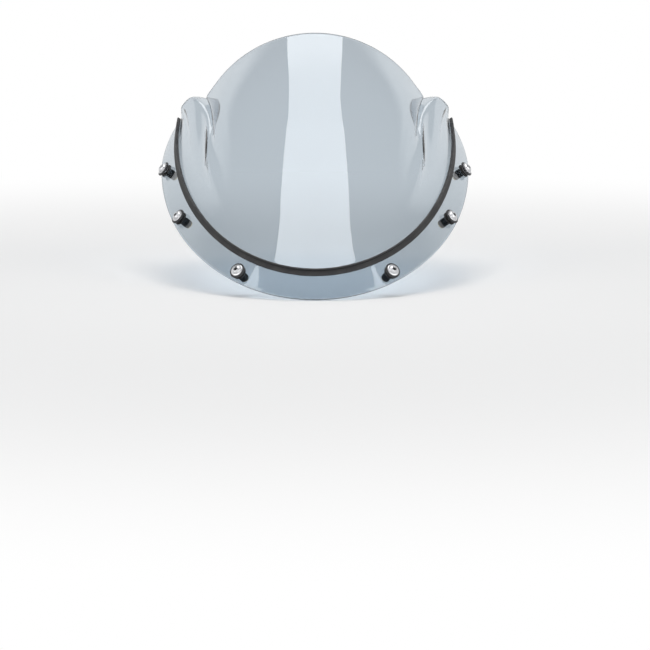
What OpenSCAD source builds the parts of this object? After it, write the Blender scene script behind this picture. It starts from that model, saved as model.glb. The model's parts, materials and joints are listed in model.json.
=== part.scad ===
// Motorcycle windshield screen: a bubble screen in clear smoked acrylic with
// its rubber seal strip and the six fixings that clamp it under the fairing.
// Millimetres. The machine's nose points to -Y and up is +Z.
// The origin is the lowest point of the line where the screen comes out of
// the fairing opening, on the outer face of the sheet.

/* [Opening in the fairing] */
// half the width across the opening, at its widest
half_width = 160.5; // [130:0.5:195]
// how far back the widest place lies from the lowest point
opening_depth = 290; // [240:1:350]
// how high the widest place lies above the lowest point
opening_rise = 126; // [100:1:155]
// angle of the opening line at which the sides end
opening_end = 97; // [92:0.5:100]

/* [Sheet] */
// thickness of the acrylic
sheet_t = 3; // [2:0.1:4]
// width of the hidden border under the fairing
border_w = 36; // [34:0.5:44]
// height of the top edge above the widest place
dome_rise = 118; // [95:1:145]
// how far the top edge reaches behind the widest place
dome_reach = 30; // [15:1:45]
// radius of the top edge seen from the front, as a share of half_width
dome_share = 0.885; // [0.84:0.005:0.91]
// how far the top edge leans forward as it comes down
top_lean = 50; // [35:1:65]
// bulge of the bubble above a straight line
bubble = 35; // [22:0.5:45]
// half the distance between the necks, as a share of half_width
neck_share = 0.729; // [0.70:0.005:0.76]
// height of the wings above the widest place
wing_rise = 42; // [34:0.5:50]

/* [Seal strip] */
// width of the foot that lies on the border
seal_w = 8; // [6:0.5:10]
// thickness of the foot
seal_foot_t = 1.4; // [1:0.1:1.8]
// width of the lip at the opening
seal_lip_w = 2.2; // [1.4:0.1:3]
// height of the lip
seal_lip_h = 4.3; // [3:0.1:5.2]

/* [Fixings] */
// angles of the opening line at which the three pairs of fixings stand
lower_at = 26; // [22:0.5:32]
middle_at = 58; // [52:0.5:64]
upper_at = 80; // [74:0.5:82]
// distance of a fixing from the opening line
fixing_inset = 25; // [22:0.5:26]
// diameter of the screw
screw_d = 5; // [4:0.1:6]
// length of the screw below its head
screw_l = 20; // [18:0.5:24]
// diameter and height of the head's flange
head_flange_d = 14; // [12:0.5:16]
head_flange_t = 1.2; // [0.8:0.1:1.6]
// diameter and height of the head's dome
head_dome_d = 10.6; // [9:0.1:11.5]
head_dome_h = 2.7; // [2.2:0.1:3.4]
// hexagon key across the flats, and the depth of its socket
key_w = 4; // [3:0.5:4.5]
key_depth = 2.6; // [2:0.1:3]
// diameter and thickness of the washer
washer_d = 18; // [16:0.5:20]
washer_t = 1.5; // [1:0.1:2]
// outer diameter of the collar, the fairing panel's hole slips over it
collar_d = 8; // [7.2:0.1:8.8]
// length of the collar, equal to the thickness of the fairing panel
panel_t = 3; // [2.4:0.1:4]
// diameter and thickness of the rubber nut's flange
nut_flange_d = 16; // [13:0.5:18]
nut_flange_t = 1.5; // [1:0.1:2]
// diameter and length of the rubber nut's body below the outer face
nut_d = 10; // [8.8:0.1:11]
nut_l = 14; // [13:0.5:17]
// outer diameter and length of the brass insert inside the rubber nut
insert_d = 7; // [6.4:0.1:7.4]
insert_l = 7; // [5:0.5:8]

/* [Hidden] */
// clearances
seat_gap = 0.25;       // bed of sealant between the curved sheet and a seat
hole_gap = 0.2;        // round the rubber nut in its hole
thread_gap = 0.05;     // round the screw in its insert
bore_gap = 0.15;       // round the screw in the collar and the washer
rubber_gap = 0.3;      // round the screw in the rubber
insert_lip_d = insert_d + 1.8;
insert_lip_t = 1;
border_end_w = 14;
round_off_at = upper_at + 4;
shaft_chamfer = 0.6;

// steps of the sheet: across the dome, across one wing, down the border, up the screen
dome_steps = 22;
wing_steps = 26;
border_steps = 3;
rise_steps = 24;

dome_radius = half_width * dome_share;
top_height = opening_rise + dome_rise;
top_back = opening_depth + dome_reach;
dome_height = dome_rise * 1.131;
arc_end = 56;
arc_part = 0.58;
bulge_end = 0.95;
neck = half_width * neck_share;
wing_top = opening_rise + wing_rise;

// ---- curves of the sheet, all for the +X side ----

function mix(a, b, t) = a + (b - a) * t;
function unit(a) = a / norm(a);
function mirror_x(p, side) = [side * p.x, p.y, p.z];

// the opening line, an ellipse on a leaning plane
function opening(a) = [
    half_width * sin(a),
    opening_depth * (1 - cos(a)),
    opening_rise * (1 - cos(a))
];
function along(a) = unit([
    half_width * cos(a),
    opening_depth * sin(a),
    opening_rise * sin(a)
]);

// outward normal of the fairing beside the opening, square to the line
function lean(a) = [0.85 * sin(a), -(0.95 * cos(a) + 0.1), 0.6];
function facing(a) = unit(lean(a) - along(a) * (lean(a) * along(a)));
// direction in which the border leaves the opening
function outward(a) = cross(along(a), facing(a));
function border(a, w) = opening(a) + outward(a) * w;
// the border keeps its full width as far as the upper fixings, then rounds off
function border_width(a) =
    border_end_w + (border_w - border_end_w)
        * sqrt(1 - pow(max(0, a - round_off_at) / (opening_end - round_off_at), 2));

// the dome's part of the top edge
function dome_edge(f) = [
    dome_radius * sin(f),
    top_back - top_lean * (1 - cos(f)),
    top_height - dome_height * (1 - cos(f))
];

// the rest of the top edge runs through these points: round the dome's
// corner, into the neck, over the wing and down to the end of the opening
side_end = opening(opening_end);
edge_points = [
    dome_edge(arc_end),
    [neck + 11.5, side_end.y - 34, wing_top + 1.5],
    [neck + 7.5, side_end.y - 26, wing_top - 3.5],
    [neck, side_end.y - 19, wing_top - 5],
    [neck + 5.5, side_end.y - 12, wing_top - 3],
    [side_end.x - 13.3, side_end.y - 8, wing_top],
    [side_end.x - 0.8, side_end.y - 6, side_end.z + 16],
    [side_end.x + 0.4, side_end.y - 2, side_end.z + 7]
];
edge_last = len(edge_points) - 1;
edge_spans = [
    for (i = [0 : edge_last - 1]) pow(norm(edge_points[i + 1] - edge_points[i]), 0.8)
];
edge_total = edge_spans * [for (i = edge_spans) 1];
edge_at = [
    for (i = 0, sum = 0; i <= edge_last; sum = sum + (i < edge_last ? edge_spans[i] : 0), i = i + 1)
        arc_part + (1 - arc_part) * sum / edge_total
];
edge_start = unit([
    dome_radius * cos(arc_end),
    -top_lean * sin(arc_end),
    -dome_height * sin(arc_end)
]) * norm(edge_points[1] - edge_points[0]) / (edge_at[1] - edge_at[0]);
edge_slopes = [
    for (i = [0 : edge_last])
        i == 0 ? edge_start
        : i == edge_last
            ? (edge_points[i] - edge_points[i - 1]) / (edge_at[i] - edge_at[i - 1])
            : (edge_points[i + 1] - edge_points[i - 1]) / (edge_at[i + 1] - edge_at[i - 1])
];
function edge_span(s, i = 0) =
    i >= edge_last - 1 || s <= edge_at[i + 1] ? i : edge_span(s, i + 1);
function edge_curve(i, h, t) =
    (2 * t * t * t - 3 * t * t + 1) * edge_points[i]
    + (t * t * t - 2 * t * t + t) * h * edge_slopes[i]
    + (3 * t * t - 2 * t * t * t) * edge_points[i + 1]
    + (t * t * t - t * t) * h * edge_slopes[i + 1];
function wing_edge(s, i) =
    edge_curve(i, edge_at[i + 1] - edge_at[i], (s - edge_at[i]) / (edge_at[i + 1] - edge_at[i]));
function top_edge(s) =
    s <= arc_part ? dome_edge(arc_end * s / arc_part) : wing_edge(s, edge_span(s));

// bulge, square to the straight line up the middle
bulge_way = unit([0, -top_height, top_back]);
function bulge(s, v) =
    bubble * pow(max(0, 1 - pow(s / bulge_end, 2)), 1.5) * sin(180 * pow(v, 1.2));

// s runs from the middle to the side, v from the opening line to the top edge
function ruled(a, b, v) = [mix(a.x, b.x, 1 - pow(1 - v, 2)), mix(a.y, b.y, v), mix(a.z, b.z, v)];
function sheet(s, v) = ruled(opening(opening_end * s), top_edge(s), v) + bulge_way * bulge(s, v);

// ---- the sheet as a net of points ----

half_steps = dome_steps + wing_steps;
function share(i) =
    i <= dome_steps
        ? arc_part * i / dome_steps
        : arc_part + (1 - arc_part) * (i - dome_steps) / wing_steps;
columns = 2 * half_steps;
rows = border_steps + rise_steps;
function net_side(i) = i < half_steps ? -1 : 1;
function net_share(i) = share(abs(i - half_steps));
function net_point(i, j) = mirror_x(
    j < border_steps
        ? border(opening_end * net_share(i), border_width(opening_end * net_share(i)) * (1 - j / border_steps))
        : sheet(net_share(i), (j - border_steps) / rise_steps),
    net_side(i)
);
net = [for (i = [0 : columns]) [for (j = [0 : rows]) net_point(i, j)]];
function net_normal(i, j) = unit(cross(
    net[min(i + 1, columns)][j] - net[max(i - 1, 0)][j],
    net[i][min(j + 1, rows)] - net[i][max(j - 1, 0)]
));
outer = [for (i = [0 : columns]) for (j = [0 : rows]) net[i][j]];
inner = [for (i = [0 : columns]) for (j = [0 : rows]) net[i][j] - net_normal(i, j) * sheet_t];
layer = (columns + 1) * (rows + 1);
function at(i, j) = i * (rows + 1) + j;

module sheet_body() {
    polyhedron(
        points = concat(outer, inner),
        faces = concat(
            [for (i = [0 : columns - 1]) for (j = [0 : rows - 1]) each [
                [at(i, j), at(i + 1, j + 1), at(i + 1, j)],
                [at(i, j), at(i, j + 1), at(i + 1, j + 1)],
                [layer + at(i, j), layer + at(i + 1, j), layer + at(i + 1, j + 1)],
                [layer + at(i, j), layer + at(i + 1, j + 1), layer + at(i, j + 1)]
            ]],
            [for (i = [0 : columns - 1]) each [
                [at(i, 0), at(i + 1, 0), layer + at(i + 1, 0)],
                [at(i, 0), layer + at(i + 1, 0), layer + at(i, 0)],
                [at(i + 1, rows), at(i, rows), layer + at(i, rows)],
                [at(i + 1, rows), layer + at(i, rows), layer + at(i + 1, rows)]
            ]],
            [for (j = [0 : rows - 1]) each [
                [at(0, j + 1), at(0, j), layer + at(0, j)],
                [at(0, j + 1), layer + at(0, j), layer + at(0, j + 1)],
                [at(columns, j), at(columns, j + 1), layer + at(columns, j + 1)],
                [at(columns, j), layer + at(columns, j + 1), layer + at(columns, j)]
            ]]
        )
    );
}

// ---- the place of a fixing: its foot on the sheet and its outward axis ----

function fixing_axis(a) = unit(cross(
    outward(a),
    border(a + 1, fixing_inset) - border(a - 1, fixing_inset)
));
module fixing(side, a) {
    foot = mirror_x(border(a, fixing_inset), side);
    z = mirror_x(fixing_axis(a), side);
    x = mirror_x(unit(along(a) - fixing_axis(a) * (along(a) * fixing_axis(a))), side);
    y = cross(z, x);
    multmatrix([
        [x.x, y.x, z.x, foot.x],
        [x.y, y.y, z.y, foot.y],
        [x.z, y.z, z.z, foot.z],
        [0, 0, 0, 1]
    ]) children();
}

// heights above the sheet's outer face, along a fixing's axis
nut_top = seat_gap + nut_flange_t;
collar_top = nut_top + panel_t;
washer_top = collar_top + washer_t;
insert_top = insert_l - nut_l;

// ---- sub-parts ----

module screen() {
    color([0.62, 0.66, 0.70, 0.45]) difference() {
        sheet_body();
        for (side = [-1, 1]) for (a = [lower_at, middle_at, upper_at]) fixing(side, a)
            translate([0, 0, -3 * sheet_t]) cylinder(h = 6 * sheet_t, d = nut_d + 2 * hole_gap, $fn = 48);
    }
}

// the section of the strip: a foot on the border and a lip at the opening
strip_start = 0.8;
strip_section = [
    [strip_start, seat_gap],
    [strip_start + seal_w, seat_gap],
    [strip_start + seal_w, seat_gap + seal_foot_t],
    [strip_start + seal_lip_w, seat_gap + seal_foot_t],
    [strip_start + seal_lip_w, seat_gap + seal_lip_h],
    [strip_start, seat_gap + seal_lip_h]
];
function strip_point(i, p) = mirror_x(
    border(opening_end * net_share(i), p.x) + facing(opening_end * net_share(i)) * p.y,
    net_side(i)
);

module seal_strip() {
    corners = len(strip_section);
    first = 0;
    last = columns * corners;
    color([0.05, 0.05, 0.055]) polyhedron(
        points = [for (i = [0 : columns]) for (p = strip_section) strip_point(i, p)],
        faces = concat(
            [for (i = [0 : columns - 1]) for (k = [0 : corners - 1]) each [
                [i * corners + k, (i + 1) * corners + (k + 1) % corners, i * corners + (k + 1) % corners],
                [i * corners + k, (i + 1) * corners + k, (i + 1) * corners + (k + 1) % corners]
            ]],
            [[0, 1, 2], [0, 2, 3], [0, 3, 4], [0, 4, 5]],
            [for (f = [[2, 1, 0], [3, 2, 0], [4, 3, 0], [5, 4, 0]]) [last + f[0], last + f[1], last + f[2]]]
        )
    );
}

dome_r = head_dome_d / 2;
flange_r = head_flange_d / 2;
head_profile = concat(
    [[0, 0], [flange_r - 0.2, 0], [flange_r, 0.2], [flange_r, head_flange_t - 0.4]],
    [[flange_r - 0.4, head_flange_t], [dome_r + 0.3, head_flange_t + 0.1]],
    [for (f = [10 : 16 : 58]) [dome_r * cos(f), head_flange_t + head_dome_h * sin(f) / sin(58)]],
    [[0, head_flange_t + head_dome_h]]
);

module screw(side, a) {
    shaft_r = screw_d / 2;
    color([0.72, 0.73, 0.75]) fixing(side, a) translate([0, 0, washer_top]) difference() {
        union() {
            rotate_extrude($fn = 48) polygon(head_profile);
            translate([0, 0, -screw_l + shaft_chamfer])
                cylinder(h = screw_l - shaft_chamfer, r = shaft_r, $fn = 48);
            translate([0, 0, -screw_l])
                cylinder(h = shaft_chamfer, r1 = shaft_r - shaft_chamfer, r2 = shaft_r, $fn = 48);
        }
        translate([0, 0, head_flange_t + head_dome_h - key_depth])
            cylinder(h = key_depth + 1, d = key_w / cos(30), $fn = 6);
    }
}

module washer(side, a) {
    color([0.07, 0.07, 0.075]) fixing(side, a) translate([0, 0, collar_top]) difference() {
        cylinder(h = washer_t, d = washer_d, $fn = 48);
        translate([0, 0, -1]) cylinder(h = washer_t + 2, d = screw_d + 2 * bore_gap, $fn = 48);
    }
}

module collar(side, a) {
    color([0.80, 0.81, 0.83]) fixing(side, a) translate([0, 0, nut_top]) difference() {
        cylinder(h = panel_t, d = collar_d, $fn = 48);
        translate([0, 0, -1]) cylinder(h = panel_t + 2, d = screw_d + 2 * bore_gap, $fn = 48);
    }
}

module rubber_nut(side, a) {
    color([0.06, 0.06, 0.06]) fixing(side, a) difference() {
        union() {
            translate([0, 0, seat_gap]) cylinder(h = nut_flange_t, d = nut_flange_d, $fn = 48);
            translate([0, 0, -nut_l]) cylinder(h = nut_l + nut_top, d = nut_d, $fn = 48);
        }
        translate([0, 0, -nut_l - 1]) cylinder(h = nut_l + nut_top + 2, d = screw_d + 2 * rubber_gap, $fn = 48);
        translate([0, 0, -nut_l - 1]) cylinder(h = insert_l + 1, d = insert_d, $fn = 48);
    }
}

module insert(side, a) {
    color([0.78, 0.62, 0.30]) fixing(side, a) translate([0, 0, -nut_l]) difference() {
        union() {
            cylinder(h = insert_l, d = insert_d, $fn = 48);
            translate([0, 0, -insert_lip_t]) cylinder(h = insert_lip_t, d = insert_lip_d, $fn = 48);
        }
        translate([0, 0, -insert_lip_t - 1])
            cylinder(h = insert_l + insert_lip_t + 2, d = screw_d + 2 * thread_gap, $fn = 48);
    }
}

// +1 is the rider's left, -1 the rider's right
screen();
seal_strip();

screw(1, lower_at);  // screw_left_lower
screw(1, middle_at);  // screw_left_middle
screw(1, upper_at);  // screw_left_upper
screw(-1, lower_at);  // screw_right_lower
screw(-1, middle_at);  // screw_right_middle
screw(-1, upper_at);  // screw_right_upper

washer(1, lower_at);  // washer_left_lower
washer(1, middle_at);  // washer_left_middle
washer(1, upper_at);  // washer_left_upper
washer(-1, lower_at);  // washer_right_lower
washer(-1, middle_at);  // washer_right_middle
washer(-1, upper_at);  // washer_right_upper

collar(1, lower_at);  // collar_left_lower
collar(1, middle_at);  // collar_left_middle
collar(1, upper_at);  // collar_left_upper
collar(-1, lower_at);  // collar_right_lower
collar(-1, middle_at);  // collar_right_middle
collar(-1, upper_at);  // collar_right_upper

rubber_nut(1, lower_at);  // rubber_nut_left_lower
rubber_nut(1, middle_at);  // rubber_nut_left_middle
rubber_nut(1, upper_at);  // rubber_nut_left_upper
rubber_nut(-1, lower_at);  // rubber_nut_right_lower
rubber_nut(-1, middle_at);  // rubber_nut_right_middle
rubber_nut(-1, upper_at);  // rubber_nut_right_upper

insert(1, lower_at);  // insert_left_lower
insert(1, middle_at);  // insert_left_middle
insert(1, upper_at);  // insert_left_upper
insert(-1, lower_at);  // insert_right_lower
insert(-1, middle_at);  // insert_right_middle
insert(-1, upper_at);  // insert_right_upper
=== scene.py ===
import json
import math
import bpy
import bmesh
import numpy as np
from mathutils import Matrix, Vector


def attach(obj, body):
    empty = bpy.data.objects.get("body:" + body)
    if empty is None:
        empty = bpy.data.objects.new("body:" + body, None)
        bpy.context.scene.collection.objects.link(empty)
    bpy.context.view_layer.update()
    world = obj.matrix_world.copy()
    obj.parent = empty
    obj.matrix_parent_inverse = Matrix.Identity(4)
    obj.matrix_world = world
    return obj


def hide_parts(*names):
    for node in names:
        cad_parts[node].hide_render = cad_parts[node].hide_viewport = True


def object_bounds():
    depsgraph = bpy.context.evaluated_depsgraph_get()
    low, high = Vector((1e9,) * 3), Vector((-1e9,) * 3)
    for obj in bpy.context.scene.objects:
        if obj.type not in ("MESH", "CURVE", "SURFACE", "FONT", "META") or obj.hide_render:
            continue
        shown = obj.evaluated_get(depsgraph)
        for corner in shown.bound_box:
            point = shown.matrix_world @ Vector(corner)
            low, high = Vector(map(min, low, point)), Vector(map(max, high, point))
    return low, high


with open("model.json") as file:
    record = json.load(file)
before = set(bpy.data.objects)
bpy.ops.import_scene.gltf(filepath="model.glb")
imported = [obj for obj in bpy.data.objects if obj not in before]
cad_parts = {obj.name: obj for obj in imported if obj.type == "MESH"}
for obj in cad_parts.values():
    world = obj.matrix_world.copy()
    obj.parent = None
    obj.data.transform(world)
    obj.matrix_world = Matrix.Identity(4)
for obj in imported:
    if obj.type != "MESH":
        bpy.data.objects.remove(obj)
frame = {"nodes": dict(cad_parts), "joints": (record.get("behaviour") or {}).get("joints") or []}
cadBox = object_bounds()
joints = {joint["name"]: joint for joint in frame["joints"]}
places = [side + "_" + height for side in ("left", "right") for height in ("lower", "middle", "upper")]
print("frame loaded:", len(frame["nodes"]), "nodes")


class Value:
    # a socket in a node tree that Python's operators work on

    def __init__(self, tree, socket):
        self.tree = tree
        self.socket = socket

    def step(self, operation, *others):
        sockets = {index: other for index, other in enumerate(others)}
        return self.tree.value(self.tree.mathNode, {"operation": operation}, sockets)

    def __add__(self, other):
        return self.step("ADD", self, other)

    def __radd__(self, other):
        return self.step("ADD", other, self)

    def __sub__(self, other):
        return self.step("SUBTRACT", self, other)

    def __rsub__(self, other):
        return self.step("SUBTRACT", other, self)

    def __mul__(self, other):
        return self.step("MULTIPLY", self, other)

    def __rmul__(self, other):
        return self.step("MULTIPLY", other, self)

    def clamped(self, low, high):
        # 0 below low, 1 above high, smooth between
        settings = {"interpolation_type": "SMOOTHSTEP"}
        return self.tree.value("ShaderNodeMapRange", settings, {0: self, 1: low, 2: high})


class Tree:
    # one node tree, shader or geometry, and the only ways used here to add to it
    mathNode = "ShaderNodeMath"

    def __init__(self, nodeTree):
        self.nodeTree = nodeTree

    def node(self, kind, settings=None, sockets=None):
        made = self.nodeTree.nodes.new(kind)
        for key, setting in (settings or {}).items():
            setattr(made, key, setting)
        for key, given in (sockets or {}).items():
            self.feed(made.inputs[key], given)
        return made

    def feed(self, socket, given):
        if isinstance(given, Value):
            given = given.socket
        if isinstance(given, bpy.types.NodeSocket):
            self.nodeTree.links.new(given, socket)
        else:
            socket.default_value = given

    def value(self, kind, settings=None, sockets=None, output=0):
        return Value(self, self.node(kind, settings, sockets).outputs[output])

    def mixed(self, share, first, second):
        sockets = {0: share, 6: first, 7: second}
        return self.value("ShaderNodeMix", {"data_type": "RGBA"}, sockets, 2)

    def noise(self, vector, scale, detail):
        sockets = {"Vector": vector, "Scale": scale, "Detail": detail, "Roughness": 0.55}
        return self.value("ShaderNodeTexNoise", None, sockets)

    def stretched(self, vector, scale, turn):
        sockets = {"Vector": vector, "Scale": scale, "Rotation": turn}
        return self.value("ShaderNodeMapping", None, sockets)


def rgba(colour):
    return (colour[0], colour[1], colour[2], 1.0)


def newFinish(name):
    material = bpy.data.materials.new(name)
    material.use_nodes = True
    material.node_tree.nodes.clear()
    return material, Tree(material.node_tree)


def bump(tree, height, strength, distance):
    sockets = {"Height": height, "Strength": strength, "Distance": distance}
    return tree.value("ShaderNodeBump", None, sockets)


def endShader(tree, shader):
    tree.node("ShaderNodeOutputMaterial", None, {"Surface": shader})


acrylicLook = {
    "tint": (0.492, 0.553, 0.606),
    "borderTint": (0.43, 0.49, 0.54),
    "index": 1.49,
    "roughness": 0.012,
    "scratchRoughness": 0.10,
    "throughTint": (0.70, 0.74, 0.78),
    "edgeTint": (0.16, 0.185, 0.205),
    "edgeRoughness": 0.32,
}


def acrylic():
    # smoked sheet, a little darker towards the border, with fine hair scratches in patches
    look = acrylicLook
    material, tree = newFinish("smokedAcrylic")
    place = tree.value("ShaderNodeTexCoord", None, None, 3)
    rise = tree.value("ShaderNodeAttribute", {"attribute_name": "rise"}, None, 2)
    cloud = tree.noise(place, 9.0, 2.0)
    nearBorder = 1.0 - rise.clamped(-0.02, 0.22)
    tone = nearBorder * (0.65 + 0.35 * cloud)
    colour = tree.mixed(tone, rgba(look["tint"]), rgba(look["borderTint"]))
    hair = tree.noise(tree.stretched(place, (900.0, 60.0, 160.0), (0.5, 0.2, 0.3)), 1.0, 1.0)
    hairCross = tree.noise(tree.stretched(place, (70.0, 800.0, 150.0), (0.1, 0.6, -0.4)), 1.0, 1.0)
    patches = tree.noise(place, 22.0, 2.0).clamped(0.48, 0.72)
    hairs = (hair.clamped(0.70, 0.80) + hairCross.clamped(0.72, 0.82)) * patches
    roughness = look["roughness"] + look["scratchRoughness"] * hairs
    ripple = tree.noise(place, 14.0, 1.0)
    surface = tree.node("ShaderNodeBsdfPrincipled", None, {
        "Base Color": colour, "Roughness": roughness, "IOR": look["index"],
        "Transmission Weight": 1.0,
        "Normal": bump(tree, ripple, 0.06, 0.004),
    })
    clear = tree.node("ShaderNodeBsdfTransparent", None, {"Color": rgba(look["throughTint"])})
    shadowRay = tree.value("ShaderNodeLightPath", None, None, 1)
    endShader(tree, tree.value("ShaderNodeMixShader", None,
                               {0: shadowRay, 1: surface.outputs[0], 2: clear.outputs[0]}))
    return material


def acrylicEdge():
    look = acrylicLook
    material, tree = newFinish("acrylicEdge")
    place = tree.value("ShaderNodeTexCoord", None, None, 3)
    grain = tree.noise(place, 900.0, 3.0)
    band = tree.noise(place, 60.0, 2.0)
    light = tuple(1.7 * part for part in look["edgeTint"])
    colour = tree.mixed(band, rgba(look["edgeTint"]), rgba(light))
    surface = tree.node("ShaderNodeBsdfPrincipled", None, {
        "Base Color": colour, "IOR": look["index"], "Transmission Weight": 0.45,
        "Roughness": look["edgeRoughness"] + 0.12 * grain,
        "Normal": bump(tree, grain, 0.25, 0.0002),
    })
    endShader(tree, surface.outputs[0])
    return material


def rubber(name, dark, dusty, grainScale):
    material, tree = newFinish(name)
    place = tree.value("ShaderNodeTexCoord", None, None, 3)
    grain = tree.noise(place, grainScale, 3.0)
    cloud = tree.noise(place, 55.0, 4.0).clamped(0.35, 0.75)
    up = tree.value("ShaderNodeSeparateXYZ", None,
                    {0: tree.value("ShaderNodeNewGeometry", None, None, 1)}, 2).clamped(0.1, 0.95)
    dust = up * cloud * (0.5 + 0.5 * grain)
    material.diffuse_color = rgba(dark)
    surface = tree.node("ShaderNodeBsdfPrincipled", None, {
        "Base Color": tree.mixed(dust, rgba(dark), rgba(dusty)),
        "Roughness": 0.50 + 0.22 * grain + 0.15 * dust,
        "Normal": bump(tree, grain + 0.4 * cloud, 0.35, 0.00025),
    })
    endShader(tree, surface.outputs[0])
    return material


# near-black colour painted into screw sockets as shade
socketPaintedShade = (0.012, 0.012, 0.013, 1.0)


def turnedMetal(name, base, dark, roughness, lines):
    # metal off a lathe: fine rings along the profile, darker specks, and painted shade in a screw's socket
    material, tree = newFinish(name)
    place = tree.value("ShaderNodeTexCoord", None, None, 3)
    rings = tree.value("ShaderNodeAttribute", {"attribute_name": "profileRun"}, None, 2)
    ringNoise = tree.value("ShaderNodeTexNoise", {"noise_dimensions": "1D"},
                           {"W": rings * lines, "Scale": 1.0, "Detail": 2.0})
    speck = tree.noise(place, 700.0, 3.0).clamped(0.60, 0.74)
    cloud = tree.noise(place, 160.0, 2.0)
    wear = tree.value("ShaderNodeAttribute", {"attribute_name": "cornerWear"}, None, 2)
    tone = 0.30 * speck + 0.35 * (cloud.clamped(0.3, 0.7)) * (1.0 - wear)
    # painted shade: inside the socket the colour goes near black and less metallic
    socketShadeShare = tree.value("ShaderNodeAttribute", {"attribute_name": "socketPaintedShade"}, None, 2)
    clean = tree.mixed(tone, rgba(base), rgba(dark))
    surface = tree.node("ShaderNodeBsdfPrincipled", None, {
        "Base Color": tree.mixed(0.96 * socketShadeShare, clean, socketPaintedShade),
        "Metallic": 1.0 - 0.8 * socketShadeShare,
        "Roughness": roughness + 0.12 * ringNoise + 0.14 * speck - 0.08 * wear,
        "Normal": bump(tree, ringNoise + 0.5 * cloud, 0.22, 0.00006),
    })
    endShader(tree, surface.outputs[0])
    return material


nylonLook = {"dark": (0.018, 0.018, 0.020), "worn": (0.055, 0.056, 0.060)}


def nylon():
    material, tree = newFinish("washerNylon")
    place = tree.value("ShaderNodeTexCoord", None, None, 3)
    grain = tree.noise(place, 2200.0, 2.0)
    cloud = tree.noise(place, 130.0, 3.0).clamped(0.3, 0.8)
    scuff = tree.noise(tree.stretched(place, (1500.0, 240.0, 300.0), (0.3, 0.5, 0.1)), 1.0, 1.0)
    marks = scuff.clamped(0.66, 0.78)
    surface = tree.node("ShaderNodeBsdfPrincipled", None, {
        "Base Color": tree.mixed(0.5 * cloud + 0.5 * marks, rgba(nylonLook["dark"]),
                                 rgba(nylonLook["worn"])),
        "Roughness": 0.42 + 0.14 * grain + 0.15 * marks,
        "Normal": bump(tree, grain - 0.3 * marks, 0.22, 0.00012),
    })
    endShader(tree, surface.outputs[0])
    return material


finishes = {
    "acrylic": acrylic(),
    "edge": acrylicEdge(),
    "seal": rubber("sealRubber", (0.018, 0.018, 0.020), (0.090, 0.088, 0.084), 1500.0),
    "nut": rubber("nutRubber", (0.020, 0.020, 0.021), (0.060, 0.060, 0.058), 2400.0),
    "steel": turnedMetal("screwSteel", (0.66, 0.665, 0.68), (0.30, 0.30, 0.315), 0.24, 9000.0),
    "aluminium": turnedMetal("collarAluminium", (0.76, 0.77, 0.79), (0.45, 0.46, 0.48), 0.30, 6000.0),
    "brass": turnedMetal("insertBrass", (0.76, 0.56, 0.24), (0.38, 0.26, 0.10), 0.28, 7000.0),
    "nylon": nylon(),
}
print("finishes ready:", len(finishes))

# lengths in metres, angles in degrees, the rest are shares
form = {
    "halfWidth": 0.1605,      # half the opening's width
    "openingDepth": 0.290,
    "openingRise": 0.126,
    "openingEnd": 97.0,       # angle where the sides end
    "thickness": 0.003,
    "borderWidth": 0.036,
    "borderEndWidth": 0.014,
    "roundOffAt": 84.0,
    "domeRise": 0.118,
    "domeReach": 0.030,
    "domeShare": 0.885,
    "domeDrop": 1.131,
    "topLean": 0.050,
    "bubble": 0.035,
    "neckShare": 0.729,
    "wingRise": 0.042,
    "arcEnd": 56.0,
    "arcPart": 0.58,
    "bulgeEnd": 0.95,
    "shoulderSlide": 0.30,    # how far the wings' shoulders run inwards on their way down
    "shoulderStart": 0.12,    # height at which they begin
    "neckSlide": 0.24,
    "neckStart": 0.20,
    "ridgeAt": 0.88,          # crisp ridge down from each wing's peak
    "ridgeHeight": 0.0062,
    "ridgeSpread": 0.044,
    "ridgeSlide": 0.46,
    "ridgeStart": 0.10,
    "ridgeGrowth": 0.28,
    "domeSteps": 60,          # columns on half of the dome
    "wingSteps": 66,          # columns on one wing
    "borderSteps": 10,
    "riseSteps": 76,
    "holeRadius": 0.0052,
    "edgeRound": 0.0007,
    "cutterLength": 0.03,
}


def unit(vector):
    return vector / np.linalg.norm(vector)


def openingPoint(angle):
    turn = math.radians(angle)
    away = 1.0 - math.cos(turn)
    return np.array([form["halfWidth"] * math.sin(turn), form["openingDepth"] * away,
                     form["openingRise"] * away])


def alongOpening(angle):
    turn = math.radians(angle)
    return unit(np.array([form["halfWidth"] * math.cos(turn), form["openingDepth"] * math.sin(turn),
                          form["openingRise"] * math.sin(turn)]))


def borderFacing(angle):
    turn = math.radians(angle)
    lean = np.array([0.85 * math.sin(turn), -(0.95 * math.cos(turn) + 0.1), 0.6])
    run = alongOpening(angle)
    return unit(lean - run * lean.dot(run))


def borderPoint(angle, width):
    return openingPoint(angle) + np.cross(alongOpening(angle), borderFacing(angle)) * width


def borderWidthAt(angle):
    past = max(0.0, angle - form["roundOffAt"]) / (form["openingEnd"] - form["roundOffAt"])
    extra = form["borderWidth"] - form["borderEndWidth"]
    return form["borderEndWidth"] + extra * math.sqrt(1.0 - past ** 2)


topHeight = form["openingRise"] + form["domeRise"]
topBack = form["openingDepth"] + form["domeReach"]
domeHeight = form["domeRise"] * form["domeDrop"]
domeRadius = form["halfWidth"] * form["domeShare"]
neckHalf = form["halfWidth"] * form["neckShare"]
wingTop = form["openingRise"] + form["wingRise"]
sideEnd = openingPoint(form["openingEnd"])


def domeEdge(angle):
    turn = math.radians(angle)
    away = 1.0 - math.cos(turn)
    return np.array([domeRadius * math.sin(turn), topBack - form["topLean"] * away,
                     topHeight - domeHeight * away])


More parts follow.
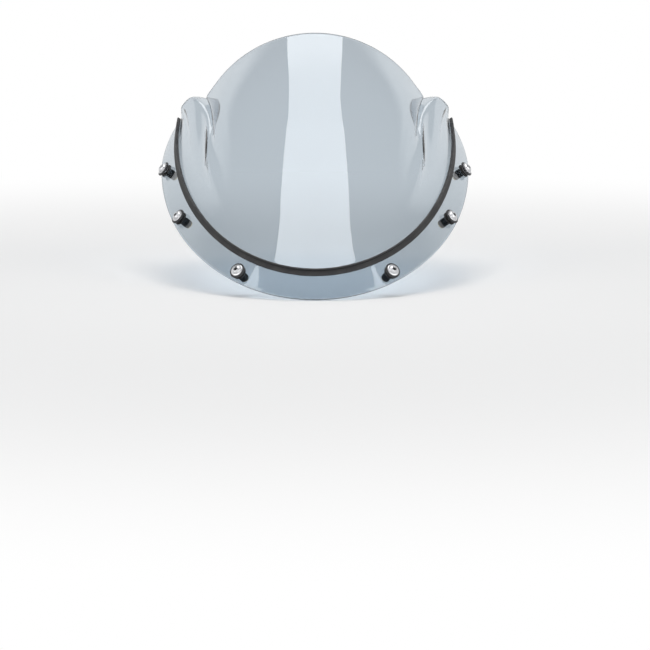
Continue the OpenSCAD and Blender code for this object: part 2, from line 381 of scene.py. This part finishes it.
# dome's corner, down into the neck, over the wing and down to the opening's end
edgePoints = [domeEdge(form["arcEnd"])] + [np.array(point) for point in (
    (neckHalf + 0.0115, sideEnd[1] - 0.034, wingTop + 0.0015),
    (neckHalf + 0.0075, sideEnd[1] - 0.026, wingTop - 0.0035),
    (neckHalf, sideEnd[1] - 0.019, wingTop - 0.005),
    (neckHalf + 0.0055, sideEnd[1] - 0.012, wingTop - 0.003),
    (sideEnd[0] - 0.0133, sideEnd[1] - 0.008, wingTop),
    (sideEnd[0] - 0.0008, sideEnd[1] - 0.006, sideEnd[2] + 0.016),
    (sideEnd[0] + 0.0004, sideEnd[1] - 0.002, sideEnd[2] + 0.007),
)]
edgeSpans = [np.linalg.norm(after - before) ** 0.8
             for before, after in zip(edgePoints, edgePoints[1:])]
edgeAt = [form["arcPart"] + (1.0 - form["arcPart"]) * sum(edgeSpans[:index]) / sum(edgeSpans)
          for index in range(len(edgePoints))]


def edgeSlope(index):
    if index == 0:
        turn = math.radians(form["arcEnd"])
        way = unit(np.array([domeRadius * math.cos(turn), -form["topLean"] * math.sin(turn),
                             -domeHeight * math.sin(turn)]))
        return way * np.linalg.norm(edgePoints[1] - edgePoints[0]) / (edgeAt[1] - edgeAt[0])
    before, after = max(index - 1, 0), min(index + 1, len(edgePoints) - 1)
    return (edgePoints[after] - edgePoints[before]) / (edgeAt[after] - edgeAt[before])


edgeSlopes = [edgeSlope(index) for index in range(len(edgePoints))]
firstWay, lastWay = unit(edgeSlopes[0]), unit(edgeSlopes[-1])


def hermite(t, start, startSlope, end, endSlope):
    return ((2 * t ** 3 - 3 * t ** 2 + 1) * start + (t ** 3 - 2 * t ** 2 + t) * startSlope
            + (3 * t ** 2 - 2 * t ** 3) * end + (t ** 3 - t ** 2) * endSlope)


def topEdge(share):
    if share <= form["arcPart"]:
        return domeEdge(form["arcEnd"] * share / form["arcPart"])
    index = max(i for i in range(len(edgeAt) - 1) if edgeAt[i] < share)
    length = edgeAt[index + 1] - edgeAt[index]
    return hermite((share - edgeAt[index]) / length, edgePoints[index], length * edgeSlopes[index],
                   edgePoints[index + 1], length * edgeSlopes[index + 1])


def plainEdge(share):
    # the same edge with neither neck nor wing
    if share <= form["arcPart"]:
        return topEdge(share)
    span = np.linalg.norm(edgePoints[-1] - edgePoints[0])
    return hermite((share - form["arcPart"]) / (1.0 - form["arcPart"]), edgePoints[0], firstWay * span,
                   edgePoints[-1], lastWay * span)


def shoulderEdge(share):
    # the same edge with the wing's shoulder and no neck
    shoulder = len(edgePoints) - 3
    if share <= form["arcPart"] or share >= edgeAt[shoulder]:
        return topEdge(share)
    length = edgeAt[shoulder] - form["arcPart"]
    span = np.linalg.norm(edgePoints[shoulder] - edgePoints[0])
    return hermite((share - form["arcPart"]) / length, edgePoints[0], firstWay * span,
                   edgePoints[shoulder], length * edgeSlopes[shoulder])


def eased(value, low):
    depth = min(1.0, max(0.0, value - low) / (1.0 - low))
    return depth ** 2 * (3.0 - 2.0 * depth)


# the ways in which the bubble swells and the ridge stands out
bulgeWay = unit(np.array([0.0, -topHeight, topBack]))
ridgeWay = unit(np.array([0.70, -0.45, 0.55]))


def sheetPoint(share, rise):
    low, high = openingPoint(form["openingEnd"] * share), plainEdge(share)
    ease = np.array([1.0 - (1.0 - rise) ** 2, rise, rise])
    fall = max(0.0, 1.0 - (share / form["bulgeEnd"]) ** 2) ** 1.5
    down = 1.0 - rise
    shoulderShare = min(1.0, share + form["shoulderSlide"] * down)
    neckShare = min(1.0, share + form["neckSlide"] * down)
    fold = ((shoulderEdge(shoulderShare) - plainEdge(shoulderShare)) * eased(rise, form["shoulderStart"])
            + (topEdge(neckShare) - shoulderEdge(neckShare)) * eased(rise, form["neckStart"]))
    off = (share + form["ridgeSlide"] * down - form["ridgeAt"]) / form["ridgeSpread"]
    grown = eased(max(0.0, rise - form["ridgeStart"]) / form["ridgeGrowth"], 0.0) * (1.0 - rise ** 6)
    ridge = ridgeWay * form["ridgeHeight"] * math.exp(-off ** 2) * grown
    bulge = bulgeWay * form["bubble"] * fall * math.sin(math.pi * rise ** 1.2)
    return low + (high - low) * ease + fold + ridge + bulge


def shareOf(column):
    if column <= form["domeSteps"]:
        return form["arcPart"] * column / form["domeSteps"]
    return form["arcPart"] + (1.0 - form["arcPart"]) * (column - form["domeSteps"]) / form["wingSteps"]


halfColumns = form["domeSteps"] + form["wingSteps"]


def netRow(share):
    angle = form["openingEnd"] * share
    width = borderWidthAt(angle)
    steps = form["borderSteps"]
    border = [borderPoint(angle, width * (1.0 - row / steps)) for row in range(steps)]
    return border + [sheetPoint(share, row / form["riseSteps"]) for row in range(form["riseSteps"] + 1)]


def linkObject(name, mesh):
    made = bpy.data.objects.new(name, mesh)
    bpy.context.scene.collection.objects.link(made)
    return made


def baked(made):
    # the object with its modifiers turned into a plain mesh
    graph = bpy.context.evaluated_depsgraph_get()
    graph.update()
    mesh = bpy.data.meshes.new_from_object(made.evaluated_get(graph), preserve_all_data_layers=True,
                                           depsgraph=graph)
    made.modifiers.clear()
    made.data = mesh
    return made


def smoothed(made, angle):
    made.data.shade_smooth()
    made.data.set_sharp_from_angle(angle=math.radians(angle))
    return made


def fixingMatrix(place):
    # where a fixing stands, from its screw's joint: foot on the sheet's outer face, axis outwards
    joint = joints["screw_" + place + "_turn"]
    axis = Vector(joint["axis"]).normalized()
    side = axis.cross(Vector((0.0, 0.0, 1.0))).normalized()
    turn = Matrix((side, axis.cross(side), axis)).transposed().to_4x4()
    return Matrix.Translation(Vector(joint["pos_m"])) @ turn


def makeSheet():
    half = [netRow(shareOf(column)) for column in range(halfColumns + 1)]
    columns = [[point * np.array([-1.0, 1.0, 1.0]) for point in row] for row in half[:0:-1]] + half
    rows = len(half[0])
    points = [tuple(point) for row in columns for point in row]
    faces = [(c * rows + r, (c + 1) * rows + r, (c + 1) * rows + r + 1, c * rows + r + 1)
             for c in range(len(columns) - 1) for r in range(rows - 1)]
    mesh = bpy.data.meshes.new("screenSheet")
    mesh.from_pydata(points, [], faces)
    rise = [(row - form["borderSteps"]) / form["riseSteps"] for row in range(rows)] * len(columns)
    mesh.attributes.new("rise", "FLOAT", "POINT").data.foreach_set("value", rise)
    mesh.materials.append(finishes["acrylic"])
    mesh.materials.append(finishes["edge"])
    made = linkObject("screenSheet", mesh)

    wall = made.modifiers.new("wall", "SOLIDIFY")
    wall.thickness = form["thickness"]
    wall.offset = -1.0
    wall.material_offset_rim = 1
    baked(made)

    cutterMesh = bpy.data.meshes.new("holeCutter")
    shape = bmesh.new()
    for place in places:
        bmesh.ops.create_cone(shape, cap_ends=True, segments=72, radius1=form["holeRadius"],
                              radius2=form["holeRadius"], depth=form["cutterLength"],
                              matrix=fixingMatrix(place))
    for face in shape.faces:
        face.material_index = 1
    shape.to_mesh(cutterMesh)
    shape.free()
    cutterMesh.materials.append(finishes["acrylic"])
    cutterMesh.materials.append(finishes["edge"])
    cutter = linkObject("holeCutter", cutterMesh)
    holes = made.modifiers.new("holes", "BOOLEAN")
    holes.object = cutter
    holes.operation = "DIFFERENCE"
    holes.solver = "EXACT"
    baked(made)
    bpy.data.objects.remove(cutter)

    # only the rim and the holes' edges are rounded, where a face of the wall meets one of the cut
    shape = bmesh.new()
    shape.from_mesh(made.data)
    weight = shape.edges.layers.float.new("bevel_weight_edge")
    for edge in shape.edges:
        if len({face.material_index for face in edge.link_faces}) > 1:
            edge[weight] = 1.0
    shape.to_mesh(made.data)
    shape.free()
    rounding = made.modifiers.new("rounding", "BEVEL")
    rounding.width = form["edgeRound"]
    rounding.segments = 3
    rounding.limit_method = "WEIGHT"
    baked(made)
    return smoothed(made, 38.0)


sheet = makeSheet()
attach(sheet, "screen_body")
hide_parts("screen")
print("sheet made:", len(sheet.data.polygons), "faces")


def newTree(name, inputs):
    nodeTree = bpy.data.node_groups.new(name, "GeometryNodeTree")
    for label, kind in inputs:
        nodeTree.interface.new_socket(label, in_out="INPUT", socket_type=kind)
    nodeTree.interface.new_socket("Geometry", in_out="OUTPUT", socket_type="NodeSocketGeometry")
    tree = Tree(nodeTree)
    return tree, tree.node("NodeGroupInput").outputs


def endTree(tree, geometry, material):
    real = tree.node("GeometryNodeRealizeInstances", None, {0: geometry})
    painted = tree.node("GeometryNodeSetMaterial", None,
                        {"Geometry": real.outputs[0], "Material": material})
    tree.node("NodeGroupOutput", None, {0: painted.outputs[0]})
    return tree.nodeTree


def grown(name, nodeTree, settings, mesh=None):
    # runs a geometry tree with these inputs and keeps the plain mesh
    made = linkObject(name, mesh or bpy.data.meshes.new(name))
    modifier = made.modifiers.new("grow", "NODES")
    modifier.node_group = nodeTree
    for item in nodeTree.interface.items_tree:
        if item.in_out == "INPUT" and item.name in settings:
            modifier[item.identifier] = settings[item.name]
    return baked(made)


def sealTree():
    # a section swept along a path of points that each say which way the section faces
    tree, given = newTree("sealStripTree", [
        ("Geometry", "NodeSocketGeometry"), ("Section", "NodeSocketObject"),
        ("Material", "NodeSocketMaterial")])
    facing = tree.node("GeometryNodeInputNamedAttribute", {"data_type": "FLOAT_VECTOR"},
                       {"Name": "facing"})
    path = tree.node("GeometryNodeMeshToCurve", None, {0: given["Geometry"]})
    aimed = tree.node("GeometryNodeSetCurveNormal", {"mode": "FREE"},
                      {"Curve": path.outputs[0], "Normal": facing.outputs[0]})
    section = tree.node("GeometryNodeObjectInfo", None, {"Object": given["Section"]})
    sectionCurve = tree.node("GeometryNodeMeshToCurve", None, {0: section.outputs["Geometry"]})
    swept = tree.node("GeometryNodeCurveToMesh", None, {
        "Curve": aimed.outputs[0], "Profile Curve": sectionCurve.outputs[0], "Fill Caps": True})
    return endTree(tree, swept.outputs[0], given["Material"])


def threadTree():
    # a square ridge swept along a helix; its inner half sinks into the shaft
    tree, given = newTree("screwThreadTree", [
        ("Turns", "NodeSocketFloat"), ("Root radius", "NodeSocketFloat"), ("Depth", "NodeSocketFloat"),
        ("Length", "NodeSocketFloat"), ("Start", "NodeSocketFloat"), ("Material", "NodeSocketMaterial")])
    helix = tree.node("GeometryNodeCurveSpiral", None, {
        "Resolution": 30, "Rotations": given["Turns"], "Start Radius": given["Root radius"],
        "End Radius": given["Root radius"], "Height": given["Length"], "Reverse": True})
    upright = tree.node("GeometryNodeSetCurveNormal", {"mode": "Z_UP"}, {"Curve": helix.outputs[0]})
    ridge = tree.node("GeometryNodeCurvePrimitiveCircle", {"mode": "RADIUS"},
                      {"Resolution": 4, "Radius": given["Depth"]})
    swept = tree.node("GeometryNodeCurveToMesh", None, {
        "Curve": upright.outputs[0], "Profile Curve": ridge.outputs[0], "Fill Caps": True})
    lift = tree.node("ShaderNodeCombineXYZ", None, {"Z": given["Start"]})
    placed = tree.node("GeometryNodeTransform", None,
                       {"Geometry": swept.outputs[0], "Translation": lift.outputs[0]})
    return endTree(tree, placed.outputs[0], given["Material"])


def ribTree():
    # upright ribs set round a circle
    tree, given = newTree("ribTree", [
        ("Count", "NodeSocketInt"), ("Radius", "NodeSocketFloat"), ("Rib depth", "NodeSocketFloat"),
        ("Rib width", "NodeSocketFloat"), ("Rib height", "NodeSocketFloat"), ("Middle", "NodeSocketFloat"),
        ("Material", "NodeSocketMaterial")])
    circle = tree.node("GeometryNodeMeshCircle", None,
                       {"Vertices": given["Count"], "Radius": given["Radius"]})
    size = tree.node("ShaderNodeCombineXYZ", None, {
        "X": given["Rib depth"], "Y": given["Rib width"], "Z": given["Rib height"]})
    rib = tree.node("GeometryNodeMeshCube", None, {"Size": size.outputs[0]})
    where = tree.node("GeometryNodeInputPosition")
    turn = tree.node("FunctionNodeAlignRotationToVector", {"axis": "X"}, {"Vector": where.outputs[0]})
    ribs = tree.node("GeometryNodeInstanceOnPoints", None, {
        "Points": circle.outputs[0], "Instance": rib.outputs[0], "Rotation": turn.outputs[0]})
    lift = tree.node("ShaderNodeCombineXYZ", None, {"Z": given["Middle"]})
    placed = tree.node("GeometryNodeTransform", None,
                       {"Geometry": ribs.outputs[0], "Translation": lift.outputs[0]})
    return endTree(tree, placed.outputs[0], given["Material"])


trees = {"seal": sealTree(), "thread": threadTree(), "rib": ribTree()}


def rounded(points, radius, steps=4):
    # a closed outline of (x, y) points with its corners rounded
    outline = []
    for index, corner in enumerate(points):
        here = Vector(corner)
        before = Vector(points[index - 1]) - here
        after = Vector(points[(index + 1) % len(points)]) - here
        reach = min(radius, before.length * 0.45, after.length * 0.45)
        start, end = here + before.normalized() * reach, here + after.normalized() * reach
        for step in range(steps + 1):
            t = step / steps
            outline.append((start * (1 - t) ** 2 + here * 2 * t * (1 - t) + end * t ** 2)[:])
    return outline


sealForm = {
    "start": 0.0008,
    "bed": 0.00025,
    "footWidth": 0.008,
    "footHeight": 0.0014,
    "lipWidth": 0.0022,
    "lipHeight": 0.0043,
    "cornerRound": 0.0007,
    "steps": 420,
}


def makeSeal():
    # an L-shaped section: a foot on the sheet and a lip that stands up
    seal = sealForm
    low, start = seal["bed"], seal["start"]
    footEnd, lipEnd = start + seal["footWidth"], start + seal["lipWidth"]
    footTop, lipTop = low + seal["footHeight"], low + seal["lipHeight"]
    corners = [(low, start), (low, footEnd), (footTop, footEnd), (footTop, lipEnd), (lipTop, lipEnd),
               (lipTop, start)]
    outline = rounded(corners, seal["cornerRound"])
    sectionMesh = bpy.data.meshes.new("sealSection")
    sectionMesh.from_pydata([(x, y, 0.0) for x, y in outline],
                            [(i, (i + 1) % len(outline)) for i in range(len(outline))], [])
    section = linkObject("sealSection", sectionMesh)
    angles = [form["openingEnd"] * (2.0 * step / seal["steps"] - 1.0)
              for step in range(seal["steps"] + 1)]
    mirror = np.array([-1.0, 1.0, 1.0])
    path, facings = [], []
    for angle in angles:
        flip = mirror if angle < 0 else np.ones(3)
        path.append(tuple(openingPoint(abs(angle)) * flip))
        facings.extend(borderFacing(abs(angle)) * flip)
    mesh = bpy.data.meshes.new("sealStrip")
    mesh.from_pydata(path, [(i, i + 1) for i in range(len(path) - 1)], [])
    mesh.attributes.new("facing", "FLOAT_VECTOR", "POINT").data.foreach_set("vector", facings)
    made = grown("sealStrip", trees["seal"], {"Section": section, "Material": finishes["seal"]}, mesh)
    bpy.data.objects.remove(section)
    shape = bmesh.new()
    shape.from_mesh(made.data)
    bmesh.ops.recalc_face_normals(shape, faces=shape.faces)
    shape.to_mesh(made.data)
    shape.free()
    return smoothed(made, 40.0)


strip = makeSeal()
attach(strip, "screen_body")
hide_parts("seal_strip")
print("seal strip made:", len(strip.data.polygons), "faces")

# heights over the sheet's outer face, and steps round each turned piece
fixingForm = {
    "nutTop": 0.00175,        # top of the rubber nut's flange
    "collarTop": 0.00475,
    "washerTop": 0.00625,
    "nutBed": 0.00025,
    "nutLength": 0.014,
    "steps": 64,
    "wearReach": 0.0005,      # how far from a corner it is worn bright
}
screwForm = {
    "length": 0.020,
    "threadRoot": 0.00208,
    "threadDepth": 0.00041,
    "pitch": 0.0008,
    "plainNeck": 0.0030,
    "shaft": 0.0025,
    "flange": 0.0070,
    "flangeHeight": 0.0012,
    "dome": 0.0053,
    "domeHeight": 0.0027,
    "keyWidth": 0.004,
    "keyDepth": 0.0026,
    "crownStep": 0.0003,
    "tipChamfer": 0.0007,
    "neckChamfer": 0.0004,
    "shaftGap": 0.00002,
    "cutterOver": 0.0005,     # how far the socket's cutter stands over the head
    "softening": 0.00012,
    "threadStart": 0.0006,
    "threadSpare": 0.0012,
}
washerForm = {"radius": 0.009, "bore": 0.00265, "round": 0.0004}
collarForm = {"radius": 0.004, "bore": 0.00265, "round": 0.00025}
nutForm = {
    "bore": 0.0028,
    "flange": 0.0080,
    "barrel": 0.00485,
    "pocket": 0.0035,
    "pocketHeight": 0.007,
    "round": 0.0004,
    "ribs": {"Count": 12, "Radius": 0.00475, "Rib depth": 0.00048, "Rib width": 0.0007,
             "Rib height": 0.0092},
    "ribMiddle": 0.0052,
}
insertForm = {
    "bore": 0.00255,
    "body": 0.0035,
    "height": 0.007,
    "lip": 0.00425,
    "lipHeight": 0.001,
    "round": 0.00015,
    "knurl": {"Count": 40, "Radius": 0.00425, "Rib depth": 0.00026, "Rib width": 0.00034,
              "Rib height": 0.0008},
    "knurlMiddle": 0.0005,
}


def turned(name, profile, material, closed=True):
    # a profile of (radius, height) points turned round Z
    steps = fixingForm["steps"]
    mesh = bpy.data.meshes.new(name)
    shape = bmesh.new()
    rings = []
    for radius, height in profile:
        if radius < 1e-7:
            rings.append([shape.verts.new((0.0, 0.0, height))] * steps)
        else:
            rings.append([shape.verts.new((radius * math.cos(2 * math.pi * s / steps),
                                           radius * math.sin(2 * math.pi * s / steps), height))
                          for s in range(steps)])
    pairs = list(zip(rings, rings[1:])) + ([(rings[-1], rings[0])] if closed else [])
    for lower, upper in pairs:
        for s in range(steps):
            corners = [lower[s], lower[(s + 1) % steps], upper[(s + 1) % steps], upper[s]]
            corners = [v for i, v in enumerate(corners) if v not in corners[:i]]
            if len(corners) > 2:
                shape.faces.new(corners)
    bmesh.ops.recalc_face_normals(shape, faces=shape.faces)
    shape.to_mesh(mesh)
    shape.free()
    mesh.materials.append(material)
    return linkObject(name, mesh)


def markProfile(made, corners, socketRadius=0.0, socketTop=0.0):
    # attributes: run along the profile, nearness to its corners, and painted shade in a socket
    mesh = made.data
    run, worn, socketShadeMarks = [], [], []
    for vertex in mesh.vertices:
        radius = math.hypot(vertex.co.x, vertex.co.y)
        run.append(radius - vertex.co.z)
        near = min(math.hypot(radius - r, vertex.co.z - z) for r, z in corners)
        worn.append(max(0.0, 1.0 - near / fixingForm["wearReach"]))
        # marks the inside of the socket, where shade is painted
        socketShadeMarks.append(float(radius < socketRadius and vertex.co.z < socketTop))
    mesh.attributes.new("profileRun", "FLOAT", "POINT").data.foreach_set("value", run)
    mesh.attributes.new("cornerWear", "FLOAT", "POINT").data.foreach_set("value", worn)
    mesh.attributes.new("socketPaintedShade", "FLOAT", "POINT").data.foreach_set("value", socketShadeMarks)


def joined(name, parts):
    # several objects' meshes as one
    shape = bmesh.new()
    for part in parts:
        shape.from_mesh(part.data)
    mesh = bpy.data.meshes.new(name)
    shape.to_mesh(mesh)
    shape.free()
    mesh.materials.append(parts[0].data.materials[0])
    for part in parts:
        bpy.data.objects.remove(part)
    return linkObject(name, mesh)


def ring(outerRadius, innerRadius, low, high, radius):
    # a flat ring's section, with rounded corners
    return rounded([(innerRadius, low), (outerRadius, low), (outerRadius, high),
                    (innerRadius, high)], radius, 3)


def makeScrew(name):
    screw = screwForm
    base = fixingForm["washerTop"]
    root, shaft, tip = screw["threadRoot"], screw["shaft"], base - screw["length"]
    top = base + screw["flangeHeight"] + screw["domeHeight"]
    neck = base - screw["plainNeck"]
    flange, flangeTop = screw["flange"], base + screw["flangeHeight"]
    chamfer, waist = screw["tipChamfer"], shaft - screw["shaftGap"]
    dome = [(screw["dome"] * math.cos(math.radians(f)),
             flangeTop + screw["domeHeight"] * math.sin(math.radians(f)) / math.sin(math.radians(58)))
            for f in range(6, 59, 4)]
    crown = (dome[-1][0] - screw["crownStep"], top)
    # tip, thread root, neck, the flange's rolled edge, then the dome
    profile = [(0.0, tip), (root - chamfer, tip), (root, tip + chamfer),
               (root, neck - screw["neckChamfer"]), (waist, neck), (waist, base),
               (flange - 0.0002, base), (flange - 0.00004, base + 0.00012),
               (flange, base + 0.0003), (flange, base + 0.0007),
               (flange - 0.0001, base + 0.00095), (flange - 0.0004, base + 0.00115),
               (screw["dome"] + 0.0006, flangeTop), (screw["dome"] + 0.0002, flangeTop + 0.00008)]
    profile += dome + [crown, (0.0, top)]
    body = turned(name + "Body", profile, finishes["steel"], closed=False)

    socket = bpy.data.meshes.new(name + "Socket")
    shape = bmesh.new()
    over = screw["cutterOver"]
    lift = Matrix.Translation((0.0, 0.0, top + over - screw["keyDepth"] / 2))
    keyRadius = screw["keyWidth"] / 2 / math.cos(math.radians(30))
    bmesh.ops.create_cone(shape, cap_ends=True, segments=6, radius1=keyRadius, radius2=keyRadius,
                          depth=screw["keyDepth"] + 2 * over, matrix=lift)
    shape.to_mesh(socket)
    shape.free()
    cutter = linkObject(name + "Socket", socket)
    cut = body.modifiers.new("socket", "BOOLEAN")
    cut.object = cutter
    cut.operation = "DIFFERENCE"
    cut.solver = "EXACT"
    baked(body)
    bpy.data.objects.remove(cutter)
    softened = body.modifiers.new("softened", "BEVEL")
    softened.width = screw["softening"]
    softened.segments = 2
    softened.limit_method = "ANGLE"
    softened.angle_limit = math.radians(50.0)
    baked(body)

    length = screw["length"] - screw["plainNeck"] - screw["threadSpare"]
    thread = grown(name + "Thread", trees["thread"], {
        "Turns": length / screw["pitch"], "Root radius": root, "Depth": screw["threadDepth"],
        "Length": length, "Start": tip + screw["threadStart"], "Material": finishes["steel"]})
    made = joined(name, [body, thread])
    corners = [(flange, base), (flange, flangeTop), (crown[0], top), (keyRadius, top)]
    markProfile(made, corners, 1.04 * keyRadius, top - 0.0002)
    return made


def makeRing(name, sizes, low, high, material):
    made = turned(name, ring(sizes["radius"], sizes["bore"], low, high, sizes["round"]), material)
    markProfile(made, [(sizes["radius"], high), (sizes["radius"], low)])
    return made


def makeWasher(name):
    low, high = fixingForm["collarTop"], fixingForm["washerTop"]
    return makeRing(name, washerForm, low, high, finishes["nylon"])


def makeCollar(name):
    low, high = fixingForm["nutTop"], fixingForm["collarTop"]
    return makeRing(name, collarForm, low, high, finishes["aluminium"])


def makeNut(name):
    # flange, barrel, and the wider pocket inside that holds the insert
    nut = nutForm
    bed, top, bottom = fixingForm["nutBed"], fixingForm["nutTop"], -fixingForm["nutLength"]
    shelf = bottom + nut["pocketHeight"]
    outline = [(nut["bore"], top), (nut["flange"], top), (nut["flange"], bed), (nut["barrel"], bed),
               (nut["barrel"], bottom), (nut["pocket"], bottom), (nut["pocket"], shelf),
               (nut["bore"], shelf)]
    body = turned(name + "Body", rounded(outline, nut["round"], 3), finishes["nut"])
    ribs = grown(name + "Ribs", trees["rib"], {
        **nut["ribs"], "Middle": bottom + nut["ribMiddle"], "Material": finishes["nut"]})
    return joined(name, [body, ribs])


def makeInsert(name):
    # a sleeve with a knurled lip at its far end
    insert = insertForm
    bottom = -fixingForm["nutLength"]
    head, foot = bottom + insert["height"], bottom - insert["lipHeight"]
    outline = [(insert["bore"], head), (insert["body"], head), (insert["body"], bottom),
               (insert["lip"], bottom), (insert["lip"], foot), (insert["bore"], foot)]
    body = turned(name + "Body", rounded(outline, insert["round"], 2), finishes["brass"])
    knurl = grown(name + "Knurl", trees["rib"], {
        **insert["knurl"], "Middle": bottom - insert["knurlMiddle"], "Material": finishes["brass"]})
    made = joined(name, [body, knurl])
    markProfile(made, [(insert["lip"], bottom), (insert["lip"], foot), (insert["bore"], foot)])
    return made


kinds = [
    ("screw", makeScrew, "screw_steel", "screw_{}_body"),
    ("washer", makeWasher, "washer_plastic", "washer_{}_body"),
    ("collar", makeCollar, "collar_aluminium", "screen_body"),
    ("rubber_nut", makeNut, "nut_rubber", "screen_body"),
    ("insert", makeInsert, "insert_brass", "screen_body"),
]
for node, make, slotName, bodyName in kinds:
    for number, place in enumerate(places):
        piece = smoothed(make(node + "_" + place + "_shape"), 34.0)
        # each fixing was tightened to its own angle
        tightened = Matrix.Rotation(math.radians(23.0 * number + 7.0), 4, "Z")
        piece.data.transform(fixingMatrix(place) @ tightened)
        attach(piece, bodyName.format(place))
        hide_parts(node + "_" + place)
    print("made:", node, "for", len(places), "places")

studio = {
    "floorSize": 14.0,
    "floorDrop": 0.0004,
    "ceiling": (0.36, 0.37, 0.38),
    # the overhead softbox: height, then (y, half width, radiance) from front to back
    "boxHeight": 2.3,
    "boxOutline": [(-0.75, 1.05, 4.4), (-0.35, 0.94, 4.4), (0.10, 0.73, 4.2), (0.55, 0.56, 3.6),
                   (0.95, 0.49, 3.2), (1.50, 0.47, 2.7), (3.10, 0.50, 2.0)],
    "ambient": 0.30,
    "lights": [
        # name, place, aim, width, length, watts
        ("leftBox", (-2.4, -1.2, 1.5), (0.0, 0.15, 0.1), 0.7, 2.2, 18.0),
        ("rightBox", (2.4, -1.2, 1.5), (0.0, 0.15, 0.1), 0.7, 2.2, 18.0),
        ("frontFill", (0.3, -3.4, 0.9), (0.0, 0.15, 0.1), 1.6, 1.2, 10.0),
    ],
}
cameraForm = {
    "middle": (0.0, 0.160, 0.120),   # point of the screen that the distance is taken from
    "elevation": 5.0,
    "distance": 4.0,
    "frameWidth": 0.7475,            # what the frame spans at that distance
    "aimAside": 0.0115,
    "aimDown": 0.203,
}


def seenRays(tree):
    # 1 for rays that show a surface: seen directly, mirrored or through the sheet
    path = tree.node("ShaderNodeLightPath")
    direct, mirrored, through = (Value(tree, path.outputs["Is " + kind + " Ray"])
                                 for kind in ("Camera", "Glossy", "Transmission"))
    return (direct + mirrored + through).clamped(0.0, 1.0)


def makeFloor():
    half = studio["floorSize"] / 2
    height = cadBox[0][2] - studio["floorDrop"]
    mesh = bpy.data.meshes.new("studioFloor")
    corners = [(-half, -half, height), (half, -half, height), (half, half, height), (-half, half, height)]
    mesh.from_pydata(corners, [], [(0, 1, 2, 3)])
    material, tree = newFinish("studioFloor")
    place = tree.value("ShaderNodeTexCoord", None, None, 3)
    reach = tree.value("ShaderNodeVectorMath", {"operation": "LENGTH"}, {0: place}, 1)
    seen = seenRays(tree)
    matt = tree.node("ShaderNodeBsdfDiffuse", None, {"Color": (0.88, 0.88, 0.88, 1.0)})
    glow = tree.node("ShaderNodeEmission", None, {"Color": (1.0, 1.0, 1.0, 1.0), "Strength": 1.0})
    share = seen * reach.clamped(0.35, 1.5)
    endShader(tree, tree.value("ShaderNodeMixShader", None,
                               {0: share, 1: matt.outputs[0], 2: glow.outputs[0]}))
    mesh.materials.append(material)
    return linkObject("studioFloor", mesh)


def makeSoftbox():
    height, outline = studio["boxHeight"], studio["boxOutline"]
    points = [(side * half, y, height) for y, half, _ in outline for side in (-1, 1)]
    faces = [(2 * i, 2 * i + 1, 2 * i + 3, 2 * i + 2) for i in range(len(outline) - 1)]
    mesh = bpy.data.meshes.new("overheadSoftbox")
    mesh.from_pydata(points, [], faces)
    glow = mesh.attributes.new("glow", "FLOAT", "POINT")
    glow.data.foreach_set("value", [level for _, _, level in outline for side in (-1, 1)])
    material, tree = newFinish("overheadSoftbox")
    level = tree.value("ShaderNodeAttribute", {"attribute_name": "glow"}, None, 2)
    endShader(tree, tree.value("ShaderNodeEmission", None, {"Strength": level}))
    mesh.materials.append(material)
    made = linkObject("overheadSoftbox", mesh)
    made.visible_camera = False
    made.visible_shadow = False
    return made


def aimed(place, aim):
    return (Vector(aim) - Vector(place)).to_track_quat("-Z", "Y").to_matrix().to_4x4()


def makeLight(name, place, aim, width, length, watts):
    lamp = bpy.data.lights.new(name, "AREA")
    lamp.shape = "RECTANGLE"
    lamp.size = width
    lamp.size_y = length
    lamp.energy = watts
    made = linkObject(name, lamp)
    made.matrix_world = Matrix.Translation(place) @ aimed(place, aim)
    return made


def makeWorld():
    world = bpy.data.worlds.new("studioWorld")
    world.use_nodes = True
    world.node_tree.nodes.clear()
    tree = Tree(world.node_tree)
    way = tree.node("ShaderNodeTexCoord").outputs["Generated"]
    height = tree.value("ShaderNodeSeparateXYZ", None, {0: way}, 2)
    seen = seenRays(tree)
    colour = tree.mixed(height.clamped(0.50, 0.64), (1.0, 1.0, 1.0, 1.0), rgba(studio["ceiling"]))
    strength = seen + (1.0 - seen) * studio["ambient"]
    background = tree.node("ShaderNodeBackground", None, {"Color": colour, "Strength": strength})
    tree.node("ShaderNodeOutputWorld", None, {"Surface": background.outputs[0]})
    bpy.context.scene.world = world


def makeCamera():
    view = cameraForm
    lift = math.radians(view["elevation"])
    back = Vector((0.0, -math.cos(lift), math.sin(lift)))
    up = Vector((0.0, math.sin(lift), math.cos(lift)))
    middle = Vector(view["middle"])
    place = middle + back * view["distance"]
    aim = middle + Vector((view["aimAside"], 0.0, 0.0)) - up * view["aimDown"]
    lens = bpy.data.cameras.new("studioCamera")
    lens.sensor_width = 36.0
    lens.lens = lens.sensor_width * view["distance"] / view["frameWidth"]
    made = linkObject("studioCamera", lens)
    made.matrix_world = Matrix.Translation(place) @ aimed(place, aim)
    bpy.context.scene.camera = made


makeFloor()
makeSoftbox()
for light in studio["lights"]:
    makeLight(*light)
makeWorld()
makeCamera()
bpy.context.scene.view_settings.view_transform = "Standard"
print("studio ready")
